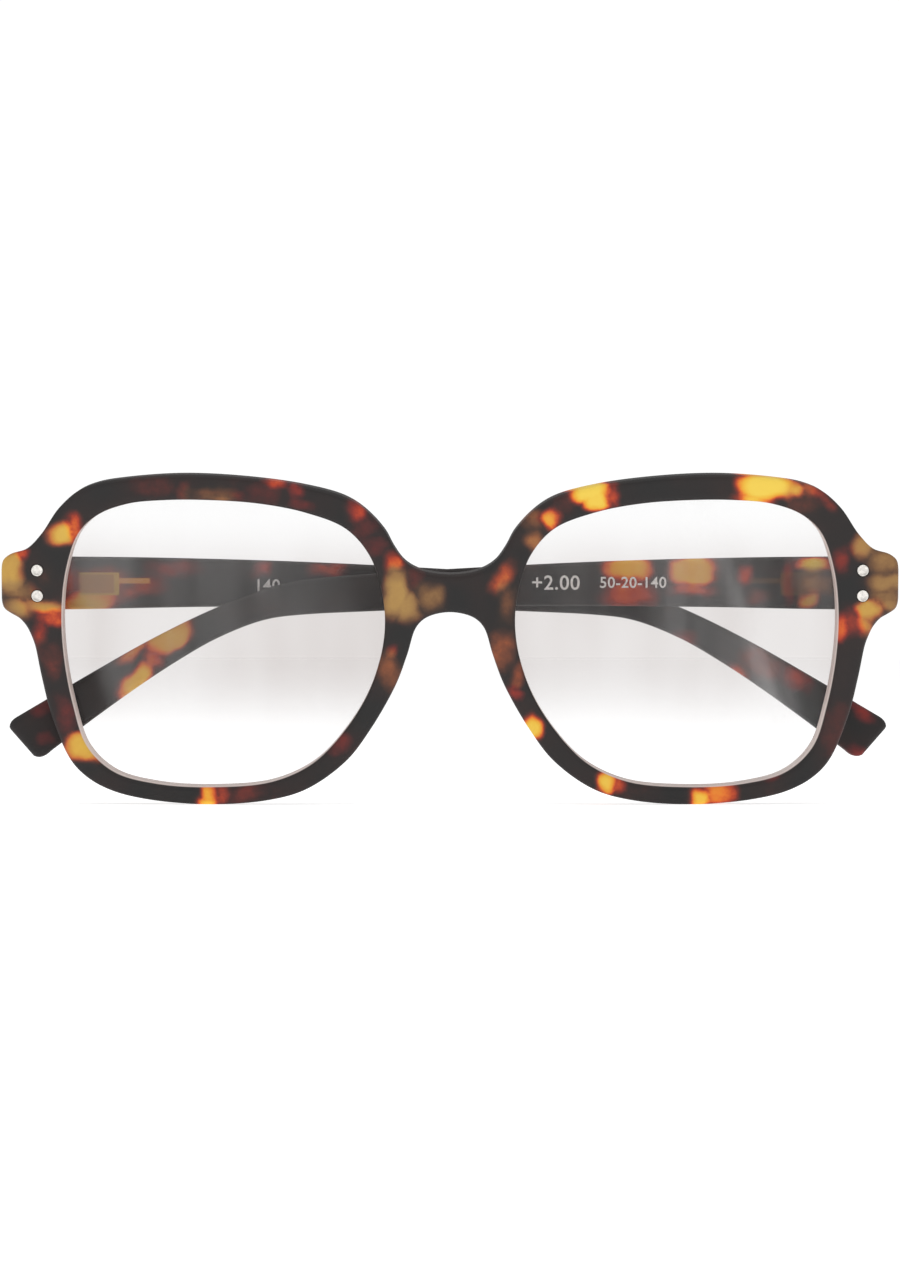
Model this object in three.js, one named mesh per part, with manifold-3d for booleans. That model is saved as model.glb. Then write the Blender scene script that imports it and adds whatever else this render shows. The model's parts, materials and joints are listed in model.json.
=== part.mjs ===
// Folding reading glasses, shown folded. Millimetres, +Z up, as worn: the front faces -Y and the
// wearer's left is +X. The front stands on the bottoms of its two rims, with the temples folded
// behind it, and the origin is the middle of that standing box's base.

import * as THREE from 'three';
import { mergeVertices } from 'three/addons/utils/BufferGeometryUtils.js';
import { TessellateModifier } from 'three/addons/modifiers/TessellateModifier.js';
import Module from 'manifold-3d';

const wasm = await Module();
wasm.setup();

// ---------------------------------------------------------------- driving dimensions

const CLEARANCE = 0.3;           // between neighbouring pieces

const FRONT_THICKNESS = 3.8;
const FRONT_BEND_RADIUS = 500;   // the front wraps a little round the face
const FRONT_TILT = 8;            // degrees, the rims' bottoms lean back
const FRONT_EDGE = 0.7;          // rounding of the front's edges
const END_PIECE_START = 61.5;    // across, where the front thickens into the end piece
const END_PIECE_BACK = 11.5;     // depth of the end piece's flat back
const END_PIECE_HALF_HEIGHT = 8;

const LENS_EDGE_THICKNESS = 1.8;
const LENS_EDGE_DEPTH = 1.0;     // from the front's face to the lens edge
const LENS_FRONT_BULGE = 1.6;
const LENS_BACK_HOLLOW = 1.0;
const LENS_SEAT = 0.6;           // how far the lens sits in its groove

const TEMPLE_THICKNESS = 3.6;
const TEMPLE_EDGE = 0.7;
const TEMPLE_LAP = 1.72;         // degrees off parallel, so that the folded temples lie on each other

const HINGE_ACROSS = 64.8;       // hinge axis, from the middle
const HINGE_BEHIND = 2.0;        // hinge axis, behind the end piece
const HINGE_TO_TEMPLE = 1.6;     // hinge axis to the temple's inner face
const HINGE_TO_BUTT = 1.7;       // hinge axis to the temple's butt end
const BARREL_RADIUS = 1.3;
const BARREL_HEIGHT = 1.6;
const WEB_WIDTH = 2.0;
const LEAF_THICKNESS = 0.9;
const FRONT_LEAF_WIDTH = 4.6;
const FRONT_LEAF_HEIGHT = 6.8;
const TEMPLE_LEAF_SUNK = 0.4;    // below the temple's inner face
const TEMPLE_LEAF_LENGTH = 13.4;
const TEMPLE_LEAF_HEIGHT = 3.6;
const TANG_LENGTH = 5.0;
const TANG_HEIGHT = 0.8;
const TANG_RAISED = 0.5;         // above the plate's middle

const SCREW_RADIUS = 0.5;
const SCREW_HEAD_RADIUS = 1.15;
const SCREW_HEAD_HEIGHT = 0.6;
const SCREW_SLOT = 0.3;
const RIVET_RADIUS = 0.92;
const RIVET_SPACING = 4.0;
const RIVET_DOME = 0.15;

// The outlines are seen from the front, unrolled flat: across from the middle, and up from the
// hinge line.

// half of the front's outer edge, from the top of the bridge round to the bridge's underside
const FRONT_HALF = [
  [0, 1.3], [4.7, 2.0], [7.1, 3.4], [8.7, 5.5], [10.2, 8.2], [13.3, 11.5], [16.5, 13.5],
  [22.8, 15.2], [32, 16.4], [42, 16.8], [51, 16.1], [55.5, 15.3], [58.5, 14.0], [61.6, 11.2],
  [64.4, 7.1], [66.6, 4.9], [69.2, 4.0], [70.4, 3.0], [70.7, 1.4], [70.7, -3.2], [70.3, -4.6],
  [69.2, -5.4], [67.8, -6.2], [66.5, -7.8], [65.6, -10.2], [64.5, -15.5], [63.0, -21.5],
  [60.0, -28.6], [57.3, -31.4], [53.5, -33.4], [48, -34.7], [38.5, -35.4], [29, -34.7],
  [22.7, -32.9], [16.4, -28.4], [12.5, -23.3], [8.5, -16.2], [6.7, -11.4], [5.3, -7.1],
  [3.6, -5.5], [0, -4.7],
];

// the lens opening, from the middle of its top towards the nose and round
const OPENING = [
  [38.5, 12.8], [30, 12.3], [22.6, 10.9], [16.3, 8.4], [12.6, 4.2], [10.7, -1.5], [10.2, -6.2],
  [10.8, -11.4], [12.9, -17.6], [16.5, -23.4], [21.3, -28.4], [27.8, -31.5], [37, -32.5],
  [46.2, -32.1], [53, -30.3], [57.2, -26.4], [59.4, -19.8], [60.8, -12], [61.1, -4.8],
  [60.3, 1.8], [58.3, 7.4], [55.3, 10.3], [50.5, 12.1], [45, 12.7],
];
const LENS_CENTRE = [35.6, -9.8];
const LENS_HALF = [25.4, 22.6];

// the temple's upper and lower edges, from the butt end to the tip: along, and up from the
// hinge line
const TEMPLE_TOP = [
  [20, 4.2], [36, 3.8], [51, 3.2], [71, 2.1], [85, 1.1], [93, 0], [99, -2.0], [106, -4.9],
  [114, -8.9], [122, -13.4], [134.9, -21.0],
];
const TEMPLE_TIP = [[136.2, -21.7], [136.15, -22.8]];
const TEMPLE_TIP_LOW = [[132.3, -27.2], [131.0, -27.9]];
const TEMPLE_BOTTOM = [
  [129.6, -26.45], [122.8, -21.3], [115.7, -16.2], [109.6, -12.2], [103.5, -8.7], [96.5, -5.9],
  [90, -4.9], [78, -4.3], [57, -3.5], [30, -3.6],
];
const BUTT_TOP = [8, 4.35];
const BUTT_BOTTOM = [8, -4.0];
const CORNER = 0.8;              // rounding of the temple's corners

const NOSE_PAD_PLACE = [8.7, -11.5];
const NOSE_PAD_HALF = [1.7, 5.6, 3.2];   // across, along the rim, back
const NOSE_PAD_LEAN = 19;        // degrees, along the rim

// ---------------------------------------------------------------- solids

const FAR = 80;                  // beyond the object on every side
const ROUND_SIDES = 16;          // of small turned pieces
const mirror = [-1, 1, 1];       // from the left side to the right
const rad = THREE.MathUtils.degToRad;

// a closed three.js geometry as a manifold-3d solid
function solid(geometry) {
  const bare = geometry.clone();
  bare.deleteAttribute('normal');
  bare.deleteAttribute('uv');
  const merged = mergeVertices(bare, 1e-5);
  const corners = merged.index.array;
  const kept = [];
  for (let i = 0; i < corners.length; i += 3) {
    const [a, b, c] = corners.slice(i, i + 3);
    if (a !== b && b !== c && c !== a) kept.push(a, b, c);
  }
  return new wasm.Manifold(new wasm.Mesh({
    numProp: 3,
    vertProperties: new Float32Array(merged.attributes.position.array),
    triVerts: new Uint32Array(kept),
  }));
}

// a manifold-3d solid as a three.js geometry
function geometryOf(body) {
  const mesh = body.getMesh();
  const geometry = new THREE.BufferGeometry();
  geometry.setAttribute('position', new THREE.BufferAttribute(mesh.vertProperties, 3));
  geometry.setIndex(new THREE.BufferAttribute(mesh.triVerts, 1));
  geometry.computeVertexNormals();
  return geometry;
}

// moves every point of a geometry by a rule
function reshape(geometry, rule) {
  const places = geometry.attributes.position;
  const point = new THREE.Vector3();
  for (let i = 0; i < places.count; i += 1) {
    rule(point.fromBufferAttribute(places, i));
    places.setXYZ(i, point.x, point.y, point.z);
  }
  return geometry;
}

// a box from its lowest to its highest corner
function block(low, high) {
  const size = high.map((value, i) => value - low[i]);
  const middle = high.map((value, i) => (value + low[i]) / 2);
  return solid(new THREE.BoxGeometry(...size).translate(...middle));
}

// a turned piece about Z: the profile is a list of (radius, height)
function turned(profile) {
  const points = profile.map(([radius, height]) => new THREE.Vector2(radius, height));
  return new THREE.LatheGeometry(points, ROUND_SIDES).rotateX(Math.PI / 2);
}

function rod(radius, low, high) {
  return solid(turned([[0, low], [radius, low], [radius, high], [0, high]]));
}

// ---------------------------------------------------------------- the curved front

const LONGEST_FLAT = 14;         // longest straight edge on the bend

// a point given flat (across, depth, up) on the bent and tilted front
const hingeLine = new THREE.Vector3(1, 0, 0);
function wrap(point) {
  const angle = point.x / FRONT_BEND_RADIUS;
  const radius = FRONT_BEND_RADIUS - point.y;
  const across = radius * Math.sin(angle);
  const depth = FRONT_BEND_RADIUS - radius * Math.cos(angle);
  point.set(across, depth, point.z).applyAxisAngle(hingeLine, rad(FRONT_TILT));
}

function smoothLoop(corners, stepsPerCorner) {
  const places = corners.map(([across, up]) => new THREE.Vector3(across, up, 0));
  const curve = new THREE.CatmullRomCurve3(places, true, 'centripetal');
  return curve.getPoints(corners.length * stepsPerCorner).slice(0, -1)
    .map((place) => new THREE.Vector2(place.x, place.y));
}

function mirrored(corners) {
  return corners.map(([across, up]) => [-across, up]).reverse();
}

// the left lens opening, moved outwards by a margin
function openingEdge(margin) {
  const [centreAcross, centreUp] = LENS_CENTRE;
  const [halfWidth, halfHeight] = LENS_HALF;
  return smoothLoop(OPENING.map(([across, up]) => [
    centreAcross + (across - centreAcross) * (1 + margin / halfWidth),
    centreUp + (up - centreUp) * (1 + margin / halfHeight),
  ]), 2);
}

// the same on an end piece, which runs straight back from the bend
function wrapStraight(point) {
  const behind = point.y - FRONT_EDGE;
  point.y = FRONT_EDGE;
  wrap(point);
  point.y += behind;
}

// an outline seen from the front, given depth and wrapped round the face
function frontPiece(shape, depthFrom, depthTo, edge = 0, rule = wrap) {
  const flat = new THREE.ExtrudeGeometry(shape, {
    depth: depthTo - depthFrom - 2 * edge,
    bevelEnabled: edge > 0,
    bevelThickness: edge,
    bevelSize: edge,
    bevelOffset: -edge,
    bevelSegments: 1,
  });
  flat.rotateX(Math.PI / 2).translate(0, depthTo - edge, 0);
  const fine = new TessellateModifier(LONGEST_FLAT).modify(flat);
  return solid(reshape(fine, rule));
}

const frontOutline = smoothLoop([...FRONT_HALF, ...mirrored(FRONT_HALF).slice(1, -1)], 2);
const rivetHeights = { upper: RIVET_SPACING / 2, lower: -RIVET_SPACING / 2 };

function rimPlate() {
  const shape = new THREE.Shape(frontOutline);
  const opening = openingEdge(0);
  const other = opening.map((place) => new THREE.Vector2(-place.x, place.y)).reverse();
  shape.holes = [new THREE.Path(opening), new THREE.Path(other)];
  return frontPiece(shape, 0, FRONT_THICKNESS, FRONT_EDGE);
}

// the end piece: the same outline, thicker, cut off flat at the back for the temple to meet
function endPiece() {
  const shape = new THREE.Shape(frontOutline);
  const thick = frontPiece(shape, FRONT_EDGE, FRONT_THICKNESS * 4, 0, wrapStraight);
  return thick.intersect(block(
    [END_PIECE_START, -FAR, -END_PIECE_HALF_HEIGHT],
    [FAR, END_PIECE_BACK, END_PIECE_HALF_HEIGHT],
  ));
}

function nosePad() {
  const [across, up] = NOSE_PAD_PLACE;
  const [halfAcross, halfAlong, halfBack] = NOSE_PAD_HALF;
  const pad = new THREE.SphereGeometry(1, 16, 12)
    .scale(halfAcross, halfBack, halfAlong)
    .rotateY(rad(-NOSE_PAD_LEAN))
    .translate(across, FRONT_THICKNESS - FRONT_EDGE, up);
  return solid(reshape(pad, wrap));
}

function lensGroove() {
  const shape = new THREE.Shape(openingEdge(LENS_SEAT + CLEARANCE));
  const from = LENS_EDGE_DEPTH - CLEARANCE;
  return frontPiece(shape, from, from + LENS_EDGE_THICKNESS + 2 * CLEARANCE);
}

function frontLeafPocket() {
  const halfWidth = FRONT_LEAF_WIDTH / 2 + CLEARANCE;
  const halfHeight = FRONT_LEAF_HEIGHT / 2 + CLEARANCE;
  return block(
    [HINGE_ACROSS - halfWidth, END_PIECE_BACK - LEAF_THICKNESS - CLEARANCE, -halfHeight],
    [HINGE_ACROSS + halfWidth, END_PIECE_BACK + CLEARANCE, halfHeight],
  );
}

function rivetBores() {
  const bore = rod(RIVET_RADIUS + CLEARANCE, -END_PIECE_BACK, END_PIECE_BACK).rotate([90, 0, 0]);
  const [upper, lower] = Object.values(rivetHeights)
    .map((height) => bore.translate([HINGE_ACROSS, 0, height]));
  return upper.add(lower);
}

function frontFrame() {
  const added = endPiece().add(nosePad());
  const cut = lensGroove().add(frontLeafPocket()).add(rivetBores());
  return rimPlate().add(added).add(added.scale(mirror)).subtract(cut).subtract(cut.scale(mirror));
}

// ---------------------------------------------------------------- lenses

// a turned lens blank whose round edge is stretched to the shape of the opening
function lens() {
  const rings = [0, 0.35, 0.65, 0.88, 1];
  const front = rings.map((ring) => [ring, -LENS_FRONT_BULGE * (1 - ring ** 2)]);
  const back = rings.map((ring) => [ring, LENS_EDGE_THICKNESS - LENS_BACK_HOLLOW * (1 - ring ** 2)]);
  const profile = [...front, ...back.reverse()].map(([ring, depth]) => new THREE.Vector2(ring, depth));
  const edge = openingEdge(LENS_SEAT);
  const blank = new THREE.LatheGeometry(profile, edge.length);
  const [centreAcross, centreUp] = LENS_CENTRE;
  return solid(reshape(blank, (point) => {
    const ring = Math.hypot(point.x, point.z);
    const turn = Math.round(Math.atan2(-point.x, point.z) / (2 * Math.PI) * edge.length);
    const place = edge[(turn + edge.length) % edge.length];
    point.x = centreAcross + ring * (place.x - centreAcross);
    point.z = centreUp + ring * (place.y - centreUp);
    point.y += LENS_EDGE_DEPTH;
    wrap(point);
  }));
}

// ---------------------------------------------------------------- temples

// The pieces on a temple are made with the temple open, straight back along +Y from the hinge
// axis, and face outwards to +X. The other side's are their mirror image.

function templeShape() {
  const spline = (points) => points.map(([along, up]) => new THREE.Vector2(along, up));
  const [topAlong, topUp] = BUTT_TOP;
  const [lowAlong, lowUp] = BUTT_BOTTOM;
  const shape = new THREE.Shape();
  shape.moveTo(0, lowUp + CORNER);
  shape.lineTo(0, topUp - CORNER);
  shape.quadraticCurveTo(0, topUp, CORNER, topUp);
  shape.lineTo(topAlong, topUp);
  shape.splineThru(spline(TEMPLE_TOP));
  shape.quadraticCurveTo(...TEMPLE_TIP.flat());
  shape.lineTo(...TEMPLE_TIP_LOW[0]);
  shape.quadraticCurveTo(...TEMPLE_TIP_LOW[1], ...TEMPLE_BOTTOM[0]);
  shape.splineThru(spline([...TEMPLE_BOTTOM.slice(1), [lowAlong, lowUp]]));
  shape.lineTo(CORNER, lowUp);
  shape.quadraticCurveTo(0, lowUp, 0, lowUp + CORNER);
  return shape;
}

// along to +Y, up to +Z and the thickness to +X
function standUp(geometry) {
  return reshape(geometry, (point) => point.set(point.z, point.x, point.y));
}

// the anchor in the temple, a plate and a tang, from one depth to another
function templeAnchor(from, to, margin) {
  const halfHeight = TEMPLE_LEAF_HEIGHT / 2 + margin;
  const halfTang = TANG_HEIGHT / 2 + margin;
  const start = 2 * CLEARANCE - HINGE_TO_BUTT;
  const end = start + TEMPLE_LEAF_LENGTH;
  const plate = block([from, start - margin, -halfHeight], [to, end + margin, halfHeight]);
  const tang = block(
    [from, end - margin, TANG_RAISED - halfTang],
    [to, end + TANG_LENGTH + margin, TANG_RAISED + halfTang],
  );
  return plate.add(tang);
}

const anchorFace = HINGE_TO_TEMPLE + TEMPLE_LEAF_SUNK;
const anchorBack = anchorFace + LEAF_THICKNESS;

function temple() {
  const bar = standUp(new THREE.ExtrudeGeometry(templeShape(), {
    depth: TEMPLE_THICKNESS - 2 * TEMPLE_EDGE,
    curveSegments: 2,
    bevelThickness: TEMPLE_EDGE,
    bevelSize: TEMPLE_EDGE,
    bevelOffset: -TEMPLE_EDGE,
    bevelSegments: 2,
  }));
  bar.translate(HINGE_TO_TEMPLE + TEMPLE_EDGE, -HINGE_TO_BUTT, 0);
  return solid(bar).subtract(templeAnchor(0, anchorBack + CLEARANCE, CLEARANCE));
}

function barrel(level) {
  const middle = level * (BARREL_HEIGHT + CLEARANCE);
  return rod(BARREL_RADIUS, middle - BARREL_HEIGHT / 2, middle + BARREL_HEIGHT / 2);
}

function barrelWeb(level, low, high) {
  const middle = level * (BARREL_HEIGHT + CLEARANCE);
  return block(
    [low[0], low[1], middle - BARREL_HEIGHT / 2],
    [high[0], high[1], middle + BARREL_HEIGHT / 2],
  );
}

function screwBore() {
  return rod(SCREW_RADIUS + CLEARANCE / 2, -FAR, FAR);
}

// the leaf in the temple: its anchor, sunk into the inner face, and the middle barrel
function templeHinge() {
  const web = barrelWeb(0, [0, -WEB_WIDTH / 2], [(anchorFace + anchorBack) / 2, WEB_WIDTH / 2]);
  return barrel(0).add(web).add(templeAnchor(anchorFace, anchorBack, 0)).subtract(screwBore());
}

// the leaf on the front: a plate let into the end piece's back, and the outer two barrels
function frontHinge() {
  const plate = block(
    [-FRONT_LEAF_WIDTH / 2, -HINGE_BEHIND - LEAF_THICKNESS, -FRONT_LEAF_HEIGHT / 2],
    [FRONT_LEAF_WIDTH / 2, -HINGE_BEHIND, FRONT_LEAF_HEIGHT / 2],
  );
  let leaf = plate;
  for (const level of [-1, 1]) {
    const web = barrelWeb(
      level,
      [-WEB_WIDTH / 2, -HINGE_BEHIND - LEAF_THICKNESS / 2],
      [WEB_WIDTH / 2, 0],
    );
    leaf = leaf.add(barrel(level)).add(web);
  }
  return leaf.subtract(screwBore());
}

function hingeScrew() {
  const top = 1.5 * BARREL_HEIGHT + 2 * CLEARANCE;
  const bottom = -1.5 * BARREL_HEIGHT - CLEARANCE;
  const headTop = top + SCREW_HEAD_HEIGHT;
  const screw = solid(turned([
    [0, bottom], [SCREW_RADIUS, bottom], [SCREW_RADIUS, top], [SCREW_HEAD_RADIUS, top],
    [SCREW_HEAD_RADIUS, headTop - 0.2], [SCREW_HEAD_RADIUS - 0.3, headTop], [0, headTop],
  ]));
  return screw.subtract(block(
    [-2, -SCREW_SLOT / 2, headTop - SCREW_SLOT],
    [2, SCREW_SLOT / 2, headTop + 1],
  ));
}

// a rivet through the end piece, from its face to the hinge's plate
function rivet(height) {
  const face = new THREE.Vector3(HINGE_ACROSS, 0, height);
  wrap(face);
  const back = -END_PIECE_BACK + LEAF_THICKNESS + CLEARANCE;
  const shank = turned([
    [0, back], [RIVET_RADIUS, back], [RIVET_RADIUS, -face.y],
    [RIVET_RADIUS * 0.7, RIVET_DOME - face.y], [0, RIVET_DOME * 1.5 - face.y],
  ]);
  return solid(shank.rotateX(Math.PI / 2).translate(HINGE_ACROSS, 0, height));
}

// ---------------------------------------------------------------- assembly

const materials = {
  tortoise: { color: '#3a2a24', roughness: 0.42, metalness: 0 },
  clear: { color: '#eef1f2', roughness: 0.05, metalness: 0, transparent: true, opacity: 0.3 },
  steel: { color: '#c9c9c6', roughness: 0.3, metalness: 1 },
  nickel: { color: '#a9a59c', roughness: 0.38, metalness: 1 },
};

const glasses = new THREE.Group();

function addPiece(parent, name, body, material) {
  const geometry = geometryOf(name.includes('right') ? body.scale(mirror) : body);
  const piece = new THREE.Mesh(geometry, new THREE.MeshStandardMaterial(materials[material]));
  piece.name = name;
  parent.add(piece);
}

addPiece(glasses, 'front_frame', frontFrame(), 'tortoise');
for (const [name, side] of [['left', 1], ['right', -1]]) {
  const hinge = new THREE.Group();
  hinge.position.set(HINGE_ACROSS * side, END_PIECE_BACK + HINGE_BEHIND, 0);
  glasses.add(hinge);
  const arm = new THREE.Group();
  arm.rotation.z = side * rad(90) + rad(TEMPLE_LAP);
  hinge.add(arm);

  addPiece(glasses, `lens_${name}`, lens(), 'clear');
  addPiece(hinge, `front_hinge_${name}`, frontHinge(), 'nickel');
  addPiece(hinge, `hinge_screw_${name}`, hingeScrew(), 'steel');
  addPiece(arm, `temple_${name}`, temple(), 'tortoise');
  addPiece(arm, `temple_hinge_${name}`, templeHinge(), 'nickel');
  for (const [level, height] of Object.entries(rivetHeights)) {
    addPiece(glasses, `rivet_${name}_${level}`, rivet(height), 'steel');
  }
}

// the origin: the middle of the base that the folded glasses take up
const extent = new THREE.Box3().setFromObject(glasses, true);
const middle = extent.getCenter(new THREE.Vector3());
glasses.position.set(0, -middle.y, -extent.min.z);

export default glasses;
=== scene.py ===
# Folding reading glasses: the looks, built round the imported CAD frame. Metres, +Z up, as worn:
# the front faces -Y, and the folded temples lie behind it.

import json
import math

import bmesh
import bpy
import numpy as np
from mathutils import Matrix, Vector, noise
from mathutils.geometry import delaunay_2d_cdt


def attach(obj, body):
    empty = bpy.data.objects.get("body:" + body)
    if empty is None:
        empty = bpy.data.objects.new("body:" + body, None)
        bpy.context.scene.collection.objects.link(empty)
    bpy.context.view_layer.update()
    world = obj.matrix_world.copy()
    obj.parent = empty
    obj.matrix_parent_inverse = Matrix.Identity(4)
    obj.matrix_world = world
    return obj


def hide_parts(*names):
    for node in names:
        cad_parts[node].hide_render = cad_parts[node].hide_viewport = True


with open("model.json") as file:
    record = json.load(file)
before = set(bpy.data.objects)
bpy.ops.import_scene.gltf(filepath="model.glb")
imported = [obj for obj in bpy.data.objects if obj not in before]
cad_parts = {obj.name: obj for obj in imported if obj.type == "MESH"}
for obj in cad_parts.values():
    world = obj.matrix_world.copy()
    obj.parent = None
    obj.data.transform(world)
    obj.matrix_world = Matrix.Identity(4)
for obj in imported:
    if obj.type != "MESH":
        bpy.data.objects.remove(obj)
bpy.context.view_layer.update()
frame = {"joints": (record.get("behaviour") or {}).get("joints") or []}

MM = 0.001

# ---------------------------------------------------------------- sizes, in millimetres

FRONT_THICKNESS = 3.8
FRONT_BEND_RADIUS = 500.0
FRONT_TILT = math.radians(8)
FRONT_EDGE = 0.75
END_PIECE_BACK = 11.5
END_PIECE_BLEND = (61.2, 63.4)   # across, where the front thickens into the end piece
END_PIECE_HALF_HEIGHT = 7.4
END_PIECE_MIDDLE = -1.0
END_PIECE_FADE = 2.2
HINGE_BEHIND = 2.0
HINGE_TO_TEMPLE = 1.6
HINGE_TO_BUTT = 1.7
TEMPLE_THICKNESS = 3.6
TEMPLE_EDGE = 0.75
TEMPLE_LAP = math.radians(1.72)
CORNER = 0.9
MESH_SPACING = 0.5               # of the points on a big piece's outline
BORE_SPACING = 0.24
FRONT_WALL_ROWS = 9
TEMPLE_WALL_ROWS = 6

BARREL_RADIUS = 1.3
BARREL_HEIGHT = 1.6
BARREL_GAP = 0.3
WEB_WIDTH = 2.0
LEAF_THICKNESS = 0.9
FRONT_LEAF = (4.6, 6.8)          # across, high
PLATE_PROUD = 0.12
ANCHOR_SUNK = 0.4
ANCHOR = (13.4, 3.6)             # along, high
ANCHOR_END = 12.3                # behind the hinge axis
TANG = (5.0, 0.8)
TANG_RAISED = 0.5                # above the anchor's middle
SCREW_RADIUS = 0.5
SCREW_GAP = 0.06
SCREW_HEAD = (1.15, 0.6)         # radius, height
SCREW_SLOT = 0.3
SCREW_TURN = 35                  # degrees, of the slot
RIVET_RADIUS = 0.92
RIVET_SPACING = 4.0
RIVET_LENGTH = 6.0
RIVET_GAP = 0.08

LENS_EDGE_THICKNESS = 1.8
LENS_EDGE_DEPTH = 1.0
LENS_FRONT_BULGE = 1.6
LENS_BACK_HOLLOW = 1.0
LENS_CENTRE = (35.6, -9.8)
LENS_RADIUS = 25.4
LENS_EMBEDDED = 0.12             # how far the lens edge reaches into the rim
LENS_RINGS = 28                  # of faces, from its middle to its edge
LENS_SPACING = 0.8

GLINT_START = (0.72, 0.36)        # depth where the painted highlight on the wall round a lens begins: inner and upper, outer and lower
GLINT_END = 0.3                   # before the front's back
GLINT_REACH = 0.3                 # from the opening's outline

NOSE_PAD = (8.7, -11.5)
NOSE_PAD_HALF = (2.625, 6.44, 2.55)  # across, along the rim, back
NOSE_PAD_LEAN = math.radians(19)

DIGIT_HEIGHT = 0.72              # of the built-in font's digits, at size 1
PRINT_THICKNESS = 0.02
PRINT_BOLDER = 0.03

CAMERA_BELOW_HINGES = 8.9
SURROUND_LIGHT = 0.58

# The outlines are seen from the front, unrolled flat: across from the middle, and up from the
# hinge line.
FRONT_HALF = [
    (0, 1.3), (4.7, 2.0), (7.1, 3.4), (8.7, 5.5), (10.2, 8.2), (13.3, 11.5), (16.5, 13.5),
    (22.8, 15.2), (32, 16.4), (42, 16.8), (51, 16.1), (55.5, 15.3), (58.5, 14.0), (61.6, 11.2),
    (64.4, 7.1), (66.6, 4.9), (69.2, 4.0), (70.4, 3.0), (70.7, 1.4), (70.7, -3.2), (70.3, -4.6),
    (69.2, -5.4), (67.8, -6.2), (66.5, -7.8), (65.6, -10.2), (64.5, -15.5), (63.0, -21.5),
    (60.0, -28.6), (57.3, -31.4), (53.5, -33.4), (48, -34.7), (38.5, -35.4), (29, -34.7),
    (22.7, -32.9), (16.4, -28.4), (12.5, -23.3), (8.5, -16.2), (6.7, -11.4), (5.3, -7.1),
    (3.6, -5.5), (0, -4.7),
]
OPENING = [
    (38.5, 12.8), (30, 12.3), (22.6, 10.9), (16.3, 8.4), (12.6, 4.2), (10.7, -1.5), (10.2, -6.2),
    (10.8, -11.4), (12.9, -17.6), (16.5, -23.4), (21.3, -28.4), (27.8, -31.5), (37, -32.5),
    (46.2, -32.1), (53, -30.3), (57.2, -26.4), (59.4, -19.8), (60.8, -12), (61.1, -4.8),
    (60.3, 1.8), (58.3, 7.4), (55.3, 10.3), (50.5, 12.1), (45, 12.7),
]

# the temple's upper and lower edges: along from the butt end, and up from the hinge line
TEMPLE_TOP = [
    (8, 4.35), (20, 4.2), (36, 3.8), (51, 3.2), (71, 2.1), (85, 1.1), (93, 0), (99, -2.0),
    (106, -4.9), (114, -8.9), (122, -13.4), (134.9, -21.0),
]
TEMPLE_TIP = [(136.2, -21.7), (136.15, -22.8)]
TEMPLE_TIP_LOW = [(132.3, -27.2), (131.0, -27.9)]
TEMPLE_BOTTOM = [
    (129.6, -26.45), (122.8, -21.3), (115.7, -16.2), (109.6, -12.2), (103.5, -8.7), (96.5, -5.9),
    (90, -4.9), (78, -4.3), (57, -3.5), (30, -3.6), (8, -4.0),
]

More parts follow.
